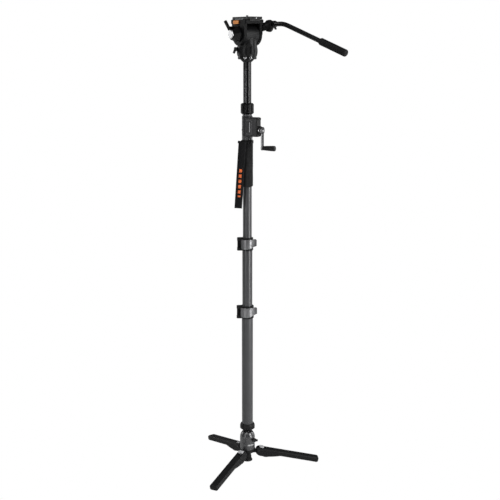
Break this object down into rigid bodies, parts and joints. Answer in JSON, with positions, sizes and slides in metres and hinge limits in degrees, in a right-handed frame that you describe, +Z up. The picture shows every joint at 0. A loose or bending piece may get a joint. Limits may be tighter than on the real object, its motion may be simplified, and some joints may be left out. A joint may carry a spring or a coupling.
{
  "type": "camera monopod",
  "caption": "Telescopic camera monopod with fold-out feet on a ball base, flip locks, foam grip, geared crank column and a fluid pan-tilt head with quick plate and handle.",
  "frame": {"origin": "centre of the central foot's underside; the three feet reach a little lower and carry it just above the floor", "axes": "+Z up along the pole; +X along the foot that points to the right of the crank side; +Y away from the user's view"},
  "size_m": [0.4067, 0.4293, 1.4514],
  "materials": {
    "tube_black": "anodised black, satin",
    "column_black": "polished black anodised",
    "body_black": "fine matte black",
    "dome_grey": "satin dark grey",
    "leg_black": "matte black",
    "lever_grey": "satin light grey",
    "housing_grey": "satin dark grey",
    "arm_grey": "satin grey",
    "steel": "plain",
    "silver": "bright satin",
    "knob_black": "matte black",
    "nylon": "plain",
    "orange": "satin orange",
    "handle_black": "black anodised",
    "rubber": "moulded",
    "foam": "closed-cell foam",
    "webbing": "woven webbing"
  },
  "bodies": {
    "base": {"foot_pad": "rubber", "base_hub": "body_black", "ball_housing": "dome_grey", "ball_seat": "nylon", "leg_pins": "steel"},
    "ball_lock": {"ball_lock_knob": "knob_black"},
    "liner": {"ball_liner": "nylon"},
    "ball": {"ball_stem": "steel", "pan_retainer": "steel"},
    "pole": {"pan_collar": "body_black", "lower_tube": "tube_black", "lower_lock_collar": "body_black", "lower_lock_fasteners": "steel"},
    "lower_lever": {"lower_lock_lever": "lever_grey"},
    "mid_stage": {"mid_tube": "tube_black", "mid_guide": "nylon", "upper_lock_collar": "body_black", "upper_lock_fasteners": "steel"},
    "upper_lever": {"upper_lock_lever": "lever_grey"},
    "upper_stage": {"upper_tube": "tube_black", "upper_guide": "nylon", "grip_sleeve": "foam", "strap_band": "knob_black", "gear_housing": "housing_grey", "gear_cover": "housing_grey", "gear_cover_screws": "steel", "column_clamp_ring": "nylon"},
    "strap": {"wrist_strap": "webbing"},
    "crank": {"crank_shaft": "steel", "pinion_gear": "steel", "crank_hub": "knob_black", "crank_arm": "arm_grey"},
    "crank_grip": {"crank_knob": "knob_black"},
    "column_collar": {"column_lock_collar": "body_black"},
    "column": {"centre_column": "column_black", "column_rack": "steel", "column_top": "body_black", "head_stud": "steel", "head_base": "body_black", "base_screws": "steel"},
    "pan": {"pan_body": "body_black"},
    "pan_lock": {"pan_lock_lever": "knob_black"},
    "tilt": {"tilt_frame": "body_black", "tilt_axle": "steel"},
    "drag": {"drag_knob": "knob_black", "drag_cap": "silver"},
    "tilt_lock": {"tilt_lock_lever": "knob_black"},
    "button": {"release_button": "orange"},
    "plate": {"quick_plate": "body_black"},
    "screw": {"camera_screw": "steel"},
    "plate_lock": {"plate_lock_knob": "knob_black"},
    "handle": {"pan_handle": "handle_black", "handle_grip": "rubber"},
    "handle_lock": {"handle_knob": "knob_black"},
    "leg_1_arm": {"leg_1": "leg_black"},
    "tab_1": {"leg_release_tab_1": "silver"},
    "leg_2_arm": {"leg_2": "leg_black"},
    "tab_2": {"leg_release_tab_2": "silver"},
    "leg_3_arm": {"leg_3": "leg_black"},
    "tab_3": {"leg_release_tab_3": "silver"}
  },
  "joints": [
    {"name": "ball_lock_turn", "type": "hinge", "parent": "base", "child": "ball_lock", "pos_m": [0, 0, 0.078], "axis": [0.7314, -0.682, 0], "range_deg": [-90, 90]},
    {"name": "leg_1_fold", "type": "hinge", "parent": "base", "child": "leg_1_arm", "pos_m": [0.038, 0, 0.0365], "axis": [0, -1, 0], "range_deg": [0, 90]},
    {"name": "leg_1_release", "type": "slide", "parent": "leg_1_arm", "child": "tab_1", "axis": [0.9806, 0, -0.1959], "range_m": [0, 0.003], "stiffness_N_per_m": 300},
    {"name": "leg_2_fold", "type": "hinge", "parent": "base", "child": "leg_2_arm", "pos_m": [-0.019, 0.03291, 0.0365], "axis": [0.866, 0.5, 0], "range_deg": [0, 90]},
    {"name": "leg_2_release", "type": "slide", "parent": "leg_2_arm", "child": "tab_2", "axis": [-0.4903, 0.8492, -0.1959], "range_m": [0, 0.003], "stiffness_N_per_m": 300},
    {"name": "leg_3_fold", "type": "hinge", "parent": "base", "child": "leg_3_arm", "pos_m": [-0.019, -0.03291, 0.0365], "axis": [-0.866, 0.5, 0], "range_deg": [0, 90]},
    {"name": "leg_3_release", "type": "slide", "parent": "leg_3_arm", "child": "tab_3", "axis": [-0.4903, -0.8492, -0.1959], "range_m": [0, 0.003], "stiffness_N_per_m": 300},
    {"name": "tilt_socket_x", "type": "hinge", "parent": "base", "child": "liner", "pos_m": [0, 0, 0.078], "axis": [1, 0, 0], "range_deg": [-8, 8]},
    {"name": "tilt_socket_y", "type": "hinge", "parent": "liner", "child": "ball", "pos_m": [0, 0, 0.078], "axis": [0, 1, 0], "range_deg": [-8, 8]},
    {"name": "pole_turn", "type": "hinge", "parent": "ball", "child": "pole", "pos_m": [0, 0, 0.078], "axis": [0, 0, 1], "continuous": true},
    {"name": "lower_lock_flip", "type": "hinge", "parent": "pole", "child": "lower_lever", "pos_m": [-0.02736, -0.00143, 0.5075], "axis": [0, 0, -1], "range_deg": [0, 120]},
    {"name": "upper_lock_flip", "type": "hinge", "parent": "mid_stage", "child": "upper_lever", "pos_m": [-0.02537, -0.00133, 0.7305], "axis": [0, 0, -1], "range_deg": [0, 120]},
    {"name": "mid_stage_slide", "type": "slide", "parent": "pole", "child": "mid_stage", "axis": [0, 0, 1], "range_m": [-0.178, 0.09]},
    {"name": "upper_stage_slide", "type": "slide", "parent": "mid_stage", "child": "upper_stage", "axis": [0, 0, 1], "range_m": [-0.155, 0.085]},
    {"name": "strap_swing", "type": "hinge", "parent": "upper_stage", "child": "strap", "pos_m": [-0.01646, -0.02367, 1.059], "axis": [-0.9965, 0.0522, 0.0645], "range_deg": [0, 100]},
    {"name": "column_lift", "type": "slide", "parent": "upper_stage", "child": "column", "axis": [0, 0, 1], "range_m": [-0.11, 0.1]},
    {"name": "crank_turn", "type": "hinge", "parent": "upper_stage", "child": "crank", "pos_m": [-0.00854, -0.01607, 1.097], "axis": [0.8829, -0.4695, 0], "range_deg": [-905, 825]},
    {"name": "crank_knob_turn", "type": "hinge", "parent": "crank", "child": "crank_grip", "pos_m": [-0.00854, -0.01607, 1.0435], "axis": [0.8829, -0.4695, 0], "continuous": true},
    {"name": "column_lock_turn", "type": "hinge", "parent": "upper_stage", "child": "column_collar", "pos_m": [0, 0, 1.1445], "axis": [0, 0, 1], "range_deg": [0, 90]},
    {"name": "pan_turn", "type": "hinge", "parent": "column", "child": "pan", "pos_m": [0, 0, 1.384], "axis": [0, 0, 1], "continuous": true},
    {"name": "pan_lock_turn", "type": "hinge", "parent": "pan", "child": "pan_lock", "pos_m": [0, 0, 1.341], "axis": [-0.9781, -0.2079, 0], "range_deg": [-60, 60]},
    {"name": "head_tilt", "type": "hinge", "parent": "pan", "child": "tilt", "pos_m": [0, 0, 1.384], "axis": [-0.8499, -0.527, 0], "range_deg": [-60, 85]},
    {"name": "drag_turn", "type": "hinge", "parent": "tilt", "child": "drag", "pos_m": [0, 0, 1.384], "axis": [-0.8499, -0.527, 0], "continuous": true},
    {"name": "tilt_lock_turn", "type": "hinge", "parent": "tilt", "child": "tilt_lock", "pos_m": [-0.01265, 0.0204, 1.403], "axis": [-0.8499, -0.527, 0], "range_deg": [-30, 60]},
    {"name": "button_press", "type": "slide", "parent": "tilt", "child": "button", "axis": [0.8499, 0.527, 0], "range_m": [0, 0.003], "stiffness_N_per_m": 400},
    {"name": "plate_slide", "type": "slide", "parent": "tilt", "child": "plate", "axis": [0.527, -0.8499, 0], "range_m": [-0.02, 0.02]},
    {"name": "camera_screw_turn", "type": "hinge", "parent": "plate", "child": "screw", "pos_m": [0, 0, 1.4365], "axis": [0, 0, 1], "continuous": true},
    {"name": "plate_lock_turn", "type": "hinge", "parent": "tilt", "child": "plate_lock", "pos_m": [-0.01054, 0.017, 1.42245], "axis": [0.8499, 0.527, 0], "range_deg": [-90, 180]},
    {"name": "handle_angle", "type": "hinge", "parent": "tilt", "child": "handle", "pos_m": [0.02002, -0.0323, 1.41], "axis": [-0.8499, -0.527, 0], "range_deg": [-40, 60]},
    {"name": "handle_lock_turn", "type": "hinge", "parent": "tilt", "child": "handle_lock", "pos_m": [0.02002, -0.0323, 1.41], "axis": [0.8499, 0.527, 0], "continuous": true}
  ],
  "couplings": [
    {"joint": "crank_turn", "follows": "column_lift", "rad_per_m": 142.86}
  ]
}
